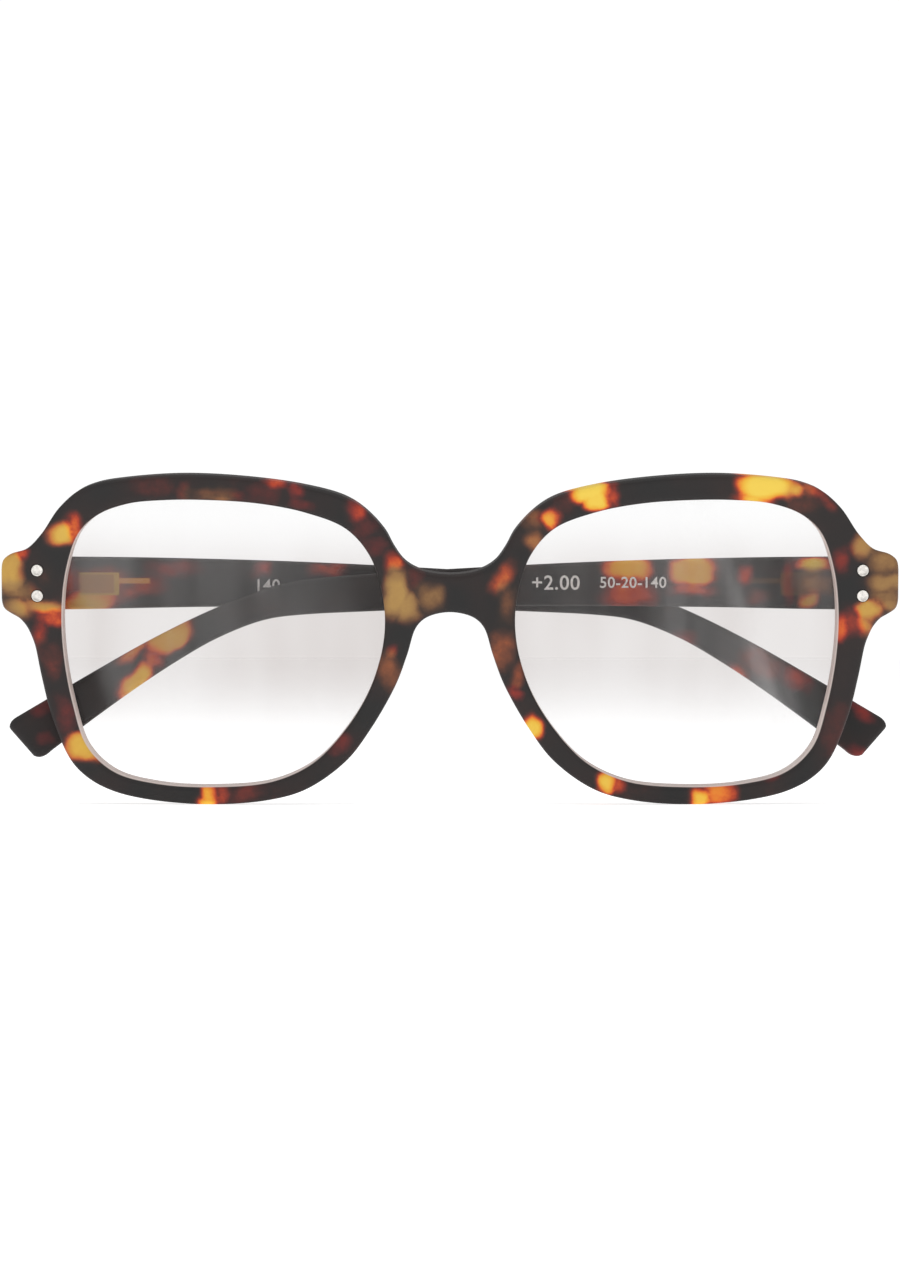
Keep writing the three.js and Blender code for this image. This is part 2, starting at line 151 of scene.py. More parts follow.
# The tortoiseshell's patches: place, half-width, half-height, turn in degrees, then how light,
# how khaki and how red the patch is, each from 0 to 1.
FRONT_PATCHES = [
    # the right rim, from its end piece round the bottom and over the top to the bridge
    (-61.3, 7.2, 2.2, 1.6, 15, 0.93, 0.5, 0), (-58.7, 8.5, 1.3, 1.8, 30, 0.60, 0, 0.3),
    (-69.4, 1.6, 2.2, 3.6, 0, 0.86, 0.75, 0), (-67.0, 4.2, 1.0, 1.1, 0, 0.55, 0, 0.5),
    (-68.0, -1.9, 2.7, 1.4, 0, 0.54, 1, 0), (-68.0, -4.4, 2.6, 1.3, -10, 0.74, 1, 0),
    (-63.8, -4.4, 3.4, 1.1, -12, 0.76, 0.8, 0), (-62.4, -6.3, 2.4, 1.1, -5, 0.56, 0, 0.5),
    (-64.4, -8.6, 1.0, 2.2, 5, 0.44, 0, 0.6), (-62.8, -12.8, 2.0, 2.8, 10, 0.25, 0.2, 0.6),
    (-64.0, 0.0, 1.9, 1.6, 0, 0.18, 0.5, 0.3), (-60.8, -21.5, 1.7, 3.6, 10, 0.27, 0, 0.8),
    (-57.8, -26.7, 3.1, 2.1, -12, 0.87, 0.4, 0), (-38.0, -33.7, 1.0, 2.1, 0, 0.80, 0, 0),
    (-38.2, -35.2, 1.4, 1.2, 0, 0.96, 0, 0), (-35.9, -33.6, 1.2, 1.9, 0, 0.48, 0, 0.5),
    (-32.0, -33.4, 3.6, 1.7, 5, 0.27, 0.1, 0.6), (-17.0, -25.5, 2.2, 1.3, 40, 0.30, 0, 0.8),
    (-46.5, 14.8, 3.9, 2.0, 0, 0.21, 0.1, 0.6), (-41.8, 13.8, 1.4, 1.4, 0, 0.32, 0.1, 0.6),
    (-36.5, 13.6, 4.3, 1.2, 0, 0.37, 0.8, 0.1), (-36.0, 13.2, 1.7, 0.6, 0, 0.48, 0.9, 0),
    (-29.5, 14.0, 3.4, 2.0, -5, 0.20, 0, 0.6), (-27.2, 15.8, 1.8, 1.0, -12, 0.52, 0, 0.5),
    (-23.8, 14.7, 1.6, 1.0, -12, 0.38, 0, 0.8), (-23.2, 12.4, 2.1, 1.2, -15, 0.28, 0, 0.9),
    (-14.6, 11.4, 1.5, 1.6, 20, 0.50, 0, 0.7), (-13.2, 8.6, 2.6, 2.0, 40, 0.20, 0, 0.7),
    (-11.8, 5.8, 2.2, 1.8, -40, 0.22, 0, 0.8),
    # the bridge, and down both sides of the nose
    (-5.4, 0.4, 1.5, 2.8, 10, 0.24, 0.1, 0.6), (-8.7, 2.8, 1.6, 1.9, 15, 0.60, 0, 0.2),
    (-8.6, -1.8, 2.1, 3.6, -5, 0.85, 1, 0), (-6.8, -3.8, 1.9, 2.2, 20, 0.80, 1, 0),
    (-3.0, -2.3, 1.9, 2.1, 0, 0.52, 1, 0), (8.3, 0.8, 1.4, 2.6, -38, 0.58, 0.25, 0.3),
    (9.2, -3.4, 1.5, 2.8, 0, 0.34, 0.8, 0.1),
    (-9.3, -10.8, 0.9, 1.1, 0, 0.46, 0, 0.7), (-9.6, -14.0, 1.9, 3.2, 25, 0.42, 0.7, 0.3),
    (8.2, -10.6, 2.1, 3.2, -12, 0.42, 0.6, 0.3), (10.7, -14.8, 1.1, 2.6, -22, 0.44, 0.5, 0.3),
    (10.0, -17.5, 1.5, 1.0, -25, 0.42, 0, 0.9), (12.9, -22.9, 1.8, 2.1, -30, 0.94, 0.05, 0),
    # the left rim, the same way from the bridge
    (13.2, 10.0, 1.8, 1.8, 40, 0.42, 0.8, 0.1), (15.6, 10.0, 1.5, 1.6, 30, 0.82, 0, 0),
    (13.2, 6.4, 1.2, 1.6, 30, 0.60, 0.8, 0), (18.0, 12.6, 3.0, 2.0, 30, 0.20, 0.1, 0.5),
    (21.9, 14.5, 3.3, 1.8, 12, 1, 0, 0), (23.0, 13.0, 2.2, 1.9, 10, 0.97, 0, 0),
    (25.7, 14.0, 0.9, 2.1, 0, 0.50, 0, 0.5), (49.4, 14.9, 4.5, 2.1, -3, 1, 0, 0),
    (47.6, 13.0, 2.8, 1.1, -5, 0.88, 0, 0), (53.7, 14.7, 1.7, 1.1, -12, 0.85, 0, 0),
    (55.5, 12.2, 2.9, 1.7, -30, 0.25, 0.4, 0.4), (56.4, 14.4, 2.6, 1.2, -25, 0.50, 0.4, 0.2),
    (59.2, 12.2, 2.3, 1.1, -45, 0.31, 0.1, 0.6), (64.9, 5.0, 2.0, 1.6, -30, 0.74, 0.9, 0),
    (61.6, 3.2, 1.3, 2.0, 10, 0.37, 0, 0.7), (68.6, 2.6, 2.8, 2.2, 0, 0.54, 1, 0),
    (69.0, -0.4, 3.0, 1.1, 0, 0.70, 1, 0), (68.8, -2.5, 2.8, 1.8, 0, 0.50, 1, 0),
    (69.2, -4.0, 1.8, 1.5, 0, 0.62, 1, 0), (65.9, -4.9, 2.2, 1.8, 25, 0.87, 0.7, 0),
    (65.2, -7.2, 1.1, 1.6, 20, 0.72, 0.7, 0), (63.3, -6.8, 1.3, 2.1, 15, 0.38, 0.1, 0.8),
    (61.6, -7.6, 1.1, 1.9, 5, 0.60, 0, 0.6), (60.6, -23.5, 2.5, 5.6, -12, 0.18, 0.1, 0.6),
    (24.6, -31.6, 1.5, 1.6, -10, 0.95, 0.1, 0), (26.4, -31.9, 1.2, 1.4, 0, 0.56, 0, 0.3),
    (39.2, -34.2, 1.6, 1.5, 0, 0.93, 0.05, 0), (42.3, -33.4, 2.7, 2.0, 0, 0.63, 0, 0.1),
    (50.8, -30.8, 1.7, 1.0, 20, 0.30, 0, 0.8),
]
RIGHT_TEMPLE_PATCHES = [
    (9.6, -2.7, 4.4, 1.7, 8, 0.90, 0.35, 0), (10.8, 0.3, 5.0, 2.4, 0, 0.50, 0.3, 0.5),
    (17.0, -0.9, 4.4, 1.7, 14, 0.45, 0.1, 0.6), (22.5, 2.3, 4.5, 1.6, 0, 0.33, 0, 0.7),
    (6.0, 0.5, 1.3, 3.0, 0, 0.45, 0, 0.8), (36.8, 2.3, 1.7, 1.4, 0, 0.43, 0, 0.9),
    (47.0, 2.1, 3.0, 1.3, 0, 0.50, 0, 0.6), (49.0, -3.4, 1.7, 1.0, 0, 0.36, 0, 0.9),
    (104.0, -8.8, 2.0, 1.4, -30, 0.38, 0, 0.9), (112.8, -14.2, 1.8, 1.3, -25, 0.50, 0, 0.7),
    (116.0, -12.2, 3.8, 2.4, -28, 0.36, 0.3, 0.6), (121.5, -15.2, 2.8, 1.6, -28, 0.42, 0, 0.8),
    (132, -20, 2.2, 1.3, -30, 0.36, 0, 1), (131.5, -27, 2.2, 1.3, -30, 0.34, 0, 1),
]
LEFT_TEMPLE_PATCHES = [
    (8.8, 3.0, 2.9, 1.3, 0, 0.98, 0, 0), (8.8, 0.0, 3.0, 2.0, 0, 0.52, 0.9, 0),
    (9.8, -2.3, 1.5, 1.1, 0, 0.85, 0.5, 0), (12.9, 0.2, 0.9, 3.6, 0, 0.40, 0, 0.8),
    (19.7, 1.3, 1.2, 1.6, 0, 0.52, 0, 0.8), (17.8, -2.0, 2.3, 1.3, 0, 0.34, 0.2, 0.5),
    (28.0, 2.2, 3.9, 2.6, 0, 0.82, 0.25, 0), (28.0, -1.0, 3.4, 1.1, 0, 0.52, 0, 0.4),
    (38.2, 2.4, 3.7, 2.1, 0, 0.80, 0.1, 0), (38.2, -1.5, 4.4, 2.2, 0, 0.52, 0, 0.5),
    (57, -1.5, 3.2, 1.6, 0, 0.14, 0.3, 0.4), (110.8, -8.4, 4.0, 2.2, -27, 0.84, 0.4, 0),
    (116.4, -10.9, 3.2, 0.8, -28, 0.66, 0.3, 0.1), (113.2, -12.2, 1.3, 1.7, -30, 0.52, 0, 0.5),
    (116.0, -15.2, 3.4, 1.8, -42, 0.88, 0.1, 0), (131, -19.5, 2.2, 1.4, -20, 0.25, 0, 0.9),
    (130.5, -24.5, 1.6, 1.3, -20, 0.22, 0, 0.9),
]

# How strong the painted reflection on the lenses is, a white veil in upright streaks, from 0 to 1,
# across from the right to the left.
LENS_PAINTED_REFLECTION = [
    (-62, 0.0), (-57, 0.075), (-51, 0.08), (-44, 0.06), (-37, 0.08), (-32, 0.06), (-28, 0.085),
    (-21, 0.045), (-14, 0.015), (12, 0.03), (27, 0.04), (33, 0.10), (41.5, 0.12), (44, 0.19),
    (46.5, 0.08), (50, 0.03), (53, 0.02), (57, 0.07), (62, 0.07),
]
REFLECTION_SLANT = 0.35                # of its streaks, across per up

# Generic numerals printed inside the temples: side, name, text, height, then how far along the
# temple the text begins and how far up it stands.
NUMERALS = [
    (1, "power", "+2.00", 2.3, 53.6, -0.9),
    (1, "size", "50-20-140", 1.75, 42.8, -0.6),
    (-1, "length", "140", 1.9, 35.5, -1.1),
]

# in metres: name, place, width and height, power in watts
SOFTBOXES = [
    ("top_softbox", (0, -0.3, 1.2), (1.6, 1.2), 5),
    ("left_softbox", (-1.2, -0.9, 0.5), (0.5, 1.2), 2.5),
    ("right_softbox", (1.2, -0.9, 0.5), (0.5, 1.2), 2.5),
]
LIGHTS_AIM = (0, 0, 0.026)

# ---------------------------------------------------------------- places, from the frame

hinges = {joint["child"]: np.array(joint["pos_m"]) / MM for joint in frame["joints"]}
HINGE_LINE = hinges["left_temple"][2]
FRONT_Y = hinges["left_temple"][1] - HINGE_BEHIND - END_PIECE_BACK


def smooth_step(low, high, x):
    t = np.clip((x - low) / (high - low), 0, 1)
    return t * t * (3 - 2 * t)


def wrap(points):
    """Flat places (across, depth, up) on the bent and tilted front, in the row frame in mm."""
    across, depth, up = np.asarray(points, float).T
    angle = across / FRONT_BEND_RADIUS
    radius = FRONT_BEND_RADIUS - depth
    back = FRONT_BEND_RADIUS - radius * np.cos(angle)
    c, s = math.cos(FRONT_TILT), math.sin(FRONT_TILT)
    return np.column_stack([
        radius * np.sin(angle),
        back * c - up * s + FRONT_Y,
        back * s + up * c + HINGE_LINE,
    ])


def end_share(across, up):
    """How far a flat place belongs to an end piece, from 0 to 1."""
    over = np.abs(up - END_PIECE_MIDDLE) - END_PIECE_HALF_HEIGHT
    return smooth_step(*END_PIECE_BLEND, np.abs(across)) * (1 - smooth_step(0, END_PIECE_FADE, over))


def front_place(points):
    """As wrap, but the end pieces run straight back from the front's face."""
    across, depth, up = np.asarray(points, float).T
    straight = wrap(np.column_stack([across, 0 * depth, up])) + depth[:, None] * (0, 1, 0)
    share = end_share(across, up)[:, None]
    return (1 - share) * wrap(points) + share * straight


def temple_turn(side):
    """How far a folded temple is turned about its hinge from pointing straight back."""
    return side * math.pi / 2 + TEMPLE_LAP


def hinge_place(side, turn):
    """A rule from hinge axes (outwards, back, up) to the row frame in mm."""
    hinge = hinges[side_name(side) + "_temple"]
    c, s = math.cos(turn), math.sin(turn)

    def place(points):
        x, y, z = np.asarray(points, float).T
        x = side * x
        return np.column_stack([x * c - y * s, x * s + y * c, z]) + hinge

    return place


def temple_place(side):
    """A rule from (along, depth, up) on a temple to the row frame in mm, folded. Depth grows
    outwards from the inner face."""
    turned_place = hinge_place(side, temple_turn(side))

    def place(points):
        along, depth, up = np.asarray(points, float).T
        return turned_place(np.column_stack([HINGE_TO_TEMPLE + depth, along - HINGE_TO_BUTT, up]))

    return place


# ---------------------------------------------------------------- outlines

def smooth_loop(corners, steps=12):
    """A closed centripetal Catmull-Rom curve through the corners, as a fine loop."""
    corners = np.array(corners, float)
    count = len(corners)
    loop = []
    for i in range(count):
        p = [corners[(i + k - 1) % count] for k in range(4)]
        t = [0.0]
        for a, b in zip(p, p[1:]):
            t.append(t[-1] + np.linalg.norm(b - a) ** 0.5)
        for step in range(steps):
            x = t[1] + (t[2] - t[1]) * step / steps
            a = [((t[k + 1] - x) * p[k] + (x - t[k]) * p[k + 1]) / (t[k + 1] - t[k]) for k in range(3)]
            b = [((t[k + 2] - x) * a[k] + (x - t[k]) * a[k + 1]) / (t[k + 2] - t[k]) for k in range(2)]
            loop.append(((t[2] - x) * b[0] + (x - t[1]) * b[1]) / (t[2] - t[1]))
    return np.array(loop)


def smooth_line(corners, steps=12):
    """An open curve through the corners, from the first to the last."""
    corners = np.array(corners, float)
    ends = [2 * corners[0] - corners[1], *corners, 2 * corners[-1] - corners[-2]]
    line = [
        0.5 * (2 * b + (c - a) * t + (2 * a - 5 * b + 4 * c - d) * t ** 2
               + (3 * b - a - 3 * c + d) * t ** 3)
        for a, b, c, d in zip(ends, ends[1:], ends[2:], ends[3:])
        for t in np.arange(steps) / steps
    ]
    return np.array([*line, corners[-1]])


def rounded(start, corner, end, steps=6):
    """A quarter round from start to end, pulled towards the corner."""
    t = np.linspace(0, 1, steps + 1)[:, None]
    return (1 - t) ** 2 * np.array(start) + 2 * t * (1 - t) * np.array(corner) + t ** 2 * np.array(end)


def even(loop, spacing):
    """The closed loop again, with points about the given distance apart."""
    closed = np.vstack([loop, loop[:1]])
    run = np.concatenate([[0], np.cumsum(np.linalg.norm(np.diff(closed, axis=0), axis=1))])
    count = max(8, round(run[-1] / spacing))
    marks = np.linspace(0, run[-1], count, endpoint=False)
    return np.column_stack([np.interp(marks, run, closed[:, k]) for k in range(2)])


def area(loop):
    x, y = loop.T
    return 0.5 * float(np.sum(x * np.roll(y, -1) - np.roll(x, -1) * y))


def mirrored(corners):
    return [(-x, y) for x, y in corners][::-1]


def front_outline():
    """The front's outline, no wider at the end pieces than its own corners."""
    loop = smooth_loop([*FRONT_HALF, *mirrored(FRONT_HALF)[1:-1]])
    widest = max(across for across, _ in FRONT_HALF)
    return np.column_stack([np.clip(loop[:, 0], -widest, widest), loop[:, 1]])


def temple_outline():
    (top, low), r = (TEMPLE_TOP[0][1], TEMPLE_BOTTOM[-1][1]), CORNER
    return np.vstack([
        rounded((0, top - r), (0, top), (r, top))[:-1],
        smooth_line([(r, top), *TEMPLE_TOP])[:-1],
        rounded(TEMPLE_TOP[-1], *TEMPLE_TIP),
        rounded(TEMPLE_TIP_LOW[0], TEMPLE_TIP_LOW[1], TEMPLE_BOTTOM[0])[:-1],
        smooth_line([*TEMPLE_BOTTOM, (r, low)])[:-1],
        rounded((r, low), (0, low), (0, low + r)),
    ])


# ---------------------------------------------------------------- rounded slabs

EDGE_STEPS = 5                   # of a rounded edge's quarter turn


def inward(loop, distance):
    """The loop moved towards the inside of the material, which lies on its left."""
    along = np.roll(loop, -1, axis=0) - np.roll(loop, 1, axis=0)
    along /= np.linalg.norm(along, axis=1)[:, None]
    return loop + distance * np.column_stack([-along[:, 1], along[:, 0]])


def contains(loop, points):
    """Which points lie inside the closed loop."""
    inside = np.zeros(len(points), bool)
    px, py = points.T
    for (x1, y1), (x2, y2) in zip(loop, np.roll(loop, -1, axis=0)):
        crosses = (y1 > py) != (y2 > py)
        if crosses.any():
            inside ^= crosses & (px < (x2 - x1) * (py - y1) / (y2 - y1 or 1e-12) + x1)
    return inside


def nearest(points, loop_points):
    """Distance from each point to the nearest of the loop's points."""
    best = np.full(len(points), np.inf)
    for start in range(0, len(loop_points), 64):
        block = loop_points[start:start + 64]
        d = np.linalg.norm(points[:, None, :] - block[None, :, :], axis=2).min(axis=1)
        best = np.minimum(best, d)
    return best


def fill(loops, spacing):
    """A fine even triangulation of the region between the first loop and the holes."""
    outer, holes = loops[0], loops[1:]
    low, high = outer.min(axis=0), outer.max(axis=0)
    rows = []
    for i, up in enumerate(np.arange(low[1], high[1], spacing * 0.87)):
        across = np.arange(low[0] + (i % 2) * spacing / 2, high[0], spacing)
        rows.append(np.column_stack([across, np.full(len(across), up)]))
    grid = np.vstack(rows)
    keep = contains(outer, grid)
    for hole in holes:
        keep &= ~contains(hole, grid)
    grid = grid[keep]
    grid = grid[nearest(grid, np.vstack(loops)) > 0.6 * spacing]
    points = np.vstack([*loops, grid])
    edges, start = [], 0
    for loop in loops:
        n = len(loop)
        edges += [(start + i, start + (i + 1) % n) for i in range(n)]
        start += n
    out = delaunay_2d_cdt([Vector(p) for p in points], edges, [], 1, 1e-5, True)
    verts = np.array([list(v) for v in out[0]])
    source = [ids[0] if ids else -1 for ids in out[3]]
    if len(verts) != len(points) or sorted(source) != list(range(len(points))):
        raise ValueError("an outline crosses itself")
    order = np.array(source)
    faces = order[np.array([list(f) for f in out[2]])]
    middle = points[faces].mean(axis=1)
    keep = contains(outer, middle)
    for hole in holes:
        keep &= ~contains(hole, middle)
    return points, faces[keep]


def slab(outline, holes, edges, spacing, near, far, wall_rows):
    """A flat piece with rounded edges, as (points (across, depth, up), faces). near and far give
    the two faces' depths at flat places, and wall_rows is how many rows of faces a wall has.
    edges and spacing hold the outline's numbers and then each hole's."""
    loops = [even(loop, gap) for loop, gap in zip([outline, *holes], spacing)]
    loops = [
        loop if (area(loop) > 0) == (i == 0) else loop[::-1] for i, loop in enumerate(loops)
    ]
    angles = np.linspace(0, math.pi / 2, EDGE_STEPS + 1)
    inner = [inward(loop, edge) for loop, edge in zip(loops, edges)]
    flat, triangles = fill(inner, spacing[0])
    points = [np.column_stack([flat[:, 0], near(flat), flat[:, 1]]),
              np.column_stack([flat[:, 0], far(flat), flat[:, 1]])]
    faces = [*triangles.tolist(), *(triangles[:, ::-1] + len(flat)).tolist()]
    count = 2 * len(flat)
    start = 0
    for loop, edge in zip(loops, edges):
        own = np.arange(len(loop))

        def add(inset, depth):
            nonlocal count
            ring = inward(loop, inset)
            points.append(np.column_stack([ring[:, 0], depth(ring), ring[:, 1]]))
            count += len(loop)
            return own + count - len(loop)

        # rows from the near face, round its edge, along the wall and round the far edge
        rows = [own + start]
        for a in angles[-2:0:-1]:
            drop = edge * (1 - math.sin(a))
            rows.append(add(edge * (1 - math.cos(a)), lambda ring, d=drop: near(ring) + d))
        for share in np.linspace(0, 1, wall_rows + 1):
            rows.append(add(0, lambda ring, t=share: (
                (1 - t) * (near(ring) + edge) + t * (far(ring) - edge))))
        for a in angles[1:-1]:
            drop = edge * (1 - math.sin(a))
            rows.append(add(edge * (1 - math.cos(a)), lambda ring, d=drop: far(ring) - d))
        rows.append(own + start + len(flat))
        for one, two in zip(rows, rows[1:]):
            faces += np.column_stack([one, two, np.roll(two, -1), np.roll(one, -1)]).tolist()
        start += len(loop)
    return np.vstack(points), faces


def joined(*shells):
    """Several (points, faces) as one."""
    points, faces, start = [], [], 0
    for shell_points, shell_faces in shells:
        points.append(np.asarray(shell_points, float))
        faces += [tuple(int(i) + start for i in face) for face in shell_faces]
        start += len(shell_points)
    return np.vstack(points), faces


def turned(profile, sides=48):
    """A lathe piece about the up axis, from a list of (radius, height) that starts and ends on
    the axis."""
    turns = np.arange(sides) * 2 * math.pi / sides
    points = [(0, 0, profile[0][1])]
    for radius, height in profile[1:-1]:
        points += [(radius * math.cos(t), radius * math.sin(t), height) for t in turns]
    points.append((0, 0, profile[-1][1]))
    last = len(points) - 1
    faces = []
    for i in range(sides):
        j = (i + 1) % sides
        faces.append((0, 1 + j, 1 + i))
        for ring in range(len(profile) - 3):
            a, b = 1 + ring * sides, 1 + (ring + 1) * sides
            faces.append((a + i, a + j, b + j, b + i))
        top = 1 + (len(profile) - 3) * sides
        faces.append((last, top + i, top + j))
    return np.array(points), faces


def closed_mesh(name, points, faces):
    """A mesh from points in mm, with its faces turned outwards."""
    mesh = bpy.data.meshes.new(name)
    mesh.from_pydata((points * MM).tolist(), [], faces)
    work = bmesh.new()
    work.from_mesh(mesh)
    bmesh.ops.recalc_face_normals(work, faces=work.faces)
    work.to_mesh(mesh)
    work.free()
    return mesh


def mesh_piece(name, shell, body, place, slot, node=None):
    """A mesh object from a shell in mm, riding on a body and standing for a CAD node."""
    points, faces = shell
    mesh = closed_mesh(name, place(points), faces)
    mesh.shade_smooth()
    mesh.set_sharp_from_angle(angle=math.radians(40))
    mesh.materials.append(materials[slot])
    piece = bpy.data.objects.new(name, mesh)
    bpy.context.scene.collection.objects.link(piece)
    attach(piece, body)
    if node:
        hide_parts(node)
    return piece


def side_name(side):
    return "left" if side > 0 else "right"


def level(depth):
    """A face at one depth all over."""
    return lambda flat: np.full(len(flat), float(depth))


# ---------------------------------------------------------------- the tortoiseshell pattern

PATCH_EDGE = (1.9, 3.6)          # mm from full colour to the dark, for a bright patch and a dim one
PATCH_SQUARE = 2.6               # the patches' shape: 2 is an ellipse, and more is squarer
PATTERN_SLANT = (0.18, 0.12)     # across and up, per depth
GROUND = (0.05, 0.2, 0.45)       # how light, khaki and red the plastic is between the patches


def wobble(places, scale, seed):
    """Smooth noise at each place, about -1 to 1."""
    shift = Vector((seed, -seed, 2 * seed))
    return np.array([noise.noise(Vector(place) / scale + shift) for place in places])


def tortoise_field(places, patches, seed):
    """How light, khaki and red the plastic is at each (across, depth, up). The pattern slants a
    little through the thickness, as in a sheet cut from a block."""
    def stray(seed):
        return 0.8 * wobble(places, 4.0, seed) + 0.3 * wobble(places, 1.5, seed + 40)

    across, depth, up = places.T
    x = across + PATTERN_SLANT[0] * depth + stray(seed)
    y = up + PATTERN_SLANT[1] * depth + stray(seed + 3)
    light = GROUND[0] + 0.14 * wobble(places, 6.0, seed + 5)
    khaki = np.full(len(places), GROUND[1])
    red = np.full(len(places), GROUND[2])
    for cx, cy, half_x, half_y, turn, full, k, r in patches:
        c, s = math.cos(math.radians(turn)), math.sin(math.radians(turn))
        dx, dy = x - cx, y - cy
        over, along = np.abs(dx * c + dy * s) / half_x, np.abs(dy * c - dx * s) / half_y
        distance = (over ** PATCH_SQUARE + along ** PATCH_SQUARE) ** (1 / PATCH_SQUARE)
        edge = PATCH_EDGE[0] * full + PATCH_EDGE[1] * (1 - full)
        soft = min(0.85, edge / 2 / min(half_x, half_y))
        weight = 1 - smooth_step(1 - soft, 1 + soft, distance)
        won = smooth_step(0, 0.5, weight)
        khaki += (k - khaki) * won
        red += (r - red) * won
        light = np.maximum(light, full * weight)
    return np.clip(np.column_stack([light, khaki, red]), 0, 1)


def store(piece, name, values):
    """Keeps three numbers at each vertex, for a material to read by name."""
    layer = piece.data.attributes.new(name, "FLOAT_COLOR", "POINT")
    data = np.column_stack([values, np.ones(len(values))]).astype(np.float32)
    layer.data.foreach_set("color", data.ravel())


# ---------------------------------------------------------------- materials

def srgb(r, g, b):
    """A colour given as 0 to 255, as the shader's linear numbers."""
    return tuple(((c / 255 + 0.055) / 1.055) ** 2.4 for c in (r, g, b)) + (1.0,)


class Shading:
    """A material's node tree, with short ways to add to it."""

    def __init__(self, name):
        self.material = bpy.data.materials.new(name)
        self.material.use_nodes = True
        self.nodes = self.material.node_tree.nodes
        self.links = self.material.node_tree.links
        self.shader = self.nodes["Principled BSDF"].inputs

    def feed(self, socket, value):
        """Links an output to the socket, or sets a plain value on it."""
        if isinstance(value, bpy.types.NodeSocket):
            self.links.new(value, socket)
        else:
            socket.default_value = value

    def node(self, kind, output, **inputs):
        """A new node with named inputs (_ for a space), and its output."""
        made = self.nodes.new(kind)
        for name, value in inputs.items():
            self.feed(made.inputs[name.replace("_", " ")], value)
        return made.outputs[output]

    def noise(self, scale, detail=4.0, roughness=0.5, stretch=(1, 1, 1)):
        place = self.node("ShaderNodeTexCoord", "Object")
        place = self.node("ShaderNodeMapping", "Vector", Vector=place, Scale=stretch)
        return self.node("ShaderNodeTexNoise", "Fac", Vector=place, Scale=scale, Detail=detail,
                         Roughness=roughness)

    def span(self, value, low, high, to_low=0.0, to_high=1.0):
        """value's range from low to high, stretched smoothly to another."""
        out = self.node("ShaderNodeMapRange", "Result", Value=value, From_Min=low, From_Max=high,
                        To_Min=to_low, To_Max=to_high)
        out.node.interpolation_type = "SMOOTHSTEP"
        return out

    def math(self, operation, *values):
        made = self.nodes.new("ShaderNodeMath")
        made.operation = operation
        for socket, value in zip(made.inputs, values):
            self.feed(socket, value)
        return made.outputs[0]

    def mix(self, factor, a, b):
        """The colour a where factor is 0 and b where it is 1."""
        made = self.nodes.new("ShaderNodeMix")
        made.data_type = "RGBA"
        for name, value in (("Factor", factor), ("A", a), ("B", b)):
            socket = next(i for i in made.inputs if i.name == name and i.enabled)
            self.feed(socket, value)
        return next(o for o in made.outputs if o.enabled)

    def ramp(self, value, stops):
        out = self.node("ShaderNodeValToRGB", "Color", Fac=value)
        band = out.node.color_ramp
        while len(band.elements) < len(stops):
            band.elements.new(0.5)
        for element, (place, colour) in zip(band.elements, stops):
            element.position = place
            element.color = srgb(*colour)
        return out

    def curve(self, value, stops):
        """A number that follows value smoothly through the stops."""
        out = self.ramp(value, [(place, (0, 0, 0)) for place, _ in stops])
        out.node.color_ramp.interpolation = "EASE"
        for element, (_, number) in zip(out.node.color_ramp.elements, stops):
            element.color = (number, number, number, 1)
        return out

    def place(self):
        """The place on the object, in metres: x, y and z."""
        split = self.nodes.new("ShaderNodeSeparateXYZ")
        self.links.new(self.node("ShaderNodeTexCoord", "Object"), split.inputs[0])
        return split.outputs

    def parts(self, name):
        """The three numbers kept at the vertices under a name."""
        made = self.nodes.new("ShaderNodeAttribute")
        made.attribute_name = name
        split = self.nodes.new("ShaderNodeSeparateColor")
        self.links.new(made.outputs["Color"], split.inputs["Color"])
        return [split.outputs[part] for part in ("Red", "Green", "Blue")]

    def bump(self, height, strength, distance):
        self.feed(self.shader["Normal"], self.node(
            "ShaderNodeBump", "Normal", Height=height, Strength=strength, Distance=distance))


WARM = [
    (0.0, (38, 37, 37)), (0.12, (44, 38, 37)), (0.24, (74, 42, 38)), (0.38, (122, 48, 36)),
    (0.50, (186, 72, 38)), (0.62, (222, 116, 42)), (0.74, (228, 158, 50)), (0.88, (231, 183, 62)),
    (1.0, (234, 200, 80)),
]
OLIVE = [
    (0.0, (38, 37, 37)), (0.14, (50, 43, 39)), (0.28, (78, 58, 46)), (0.44, (112, 80, 54)),
    (0.60, (142, 106, 66)), (0.78, (158, 122, 72)), (0.90, (176, 139, 78)), (1.0, (192, 156, 86)),
]
CRIMSON = [
    (0.0, (38, 37, 37)), (0.12, (48, 37, 37)), (0.26, (88, 40, 40)), (0.42, (132, 46, 40)),
    (0.58, (186, 64, 42)), (0.75, (216, 104, 44)), (1.0, (236, 166, 58)),
]


